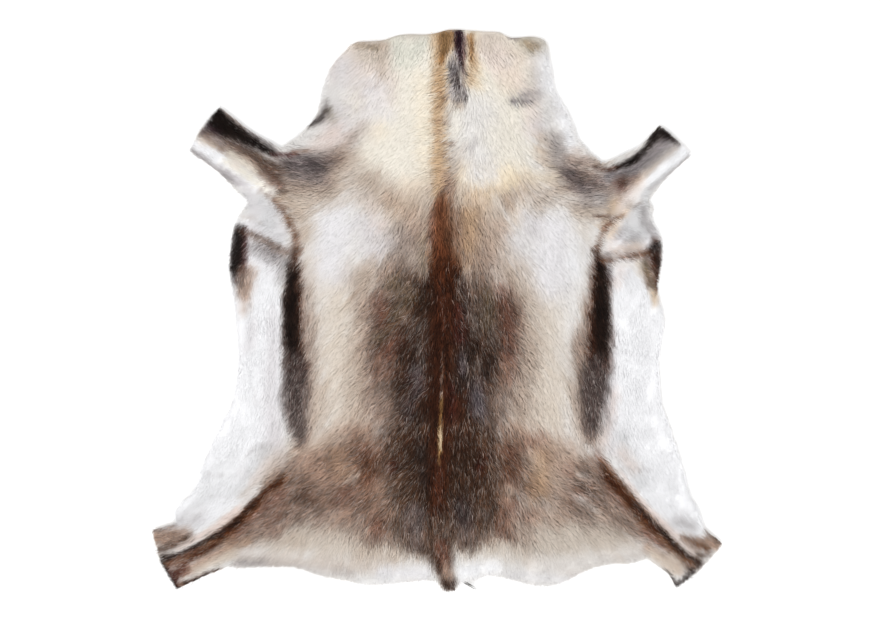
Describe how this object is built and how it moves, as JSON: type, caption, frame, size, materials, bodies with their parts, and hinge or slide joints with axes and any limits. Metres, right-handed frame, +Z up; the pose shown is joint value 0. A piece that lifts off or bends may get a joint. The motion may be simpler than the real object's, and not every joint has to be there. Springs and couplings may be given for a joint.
{
  "type": "reindeer hide",
  "caption": "Whole tanned reindeer skin with its coat on, laid out flat with legs, neck and tail spread, as a rug or throw.",
  "frame": {"origin": "middle of the hide's footprint, on the surface it lies on", "axes": "+Y towards the neck, +X to the right seen from above, +Z up out of the coat"},
  "size_m": [1.2014, 1.1838, 0.0303],
  "materials": {
    "coat": "lying winter coat, satin, in brown, black, cream and white",
    "skin": "suede flesh side, matt"
  },
  "bodies": {
    "root": {"hide": "coat"}
  },
  "joints": []
}
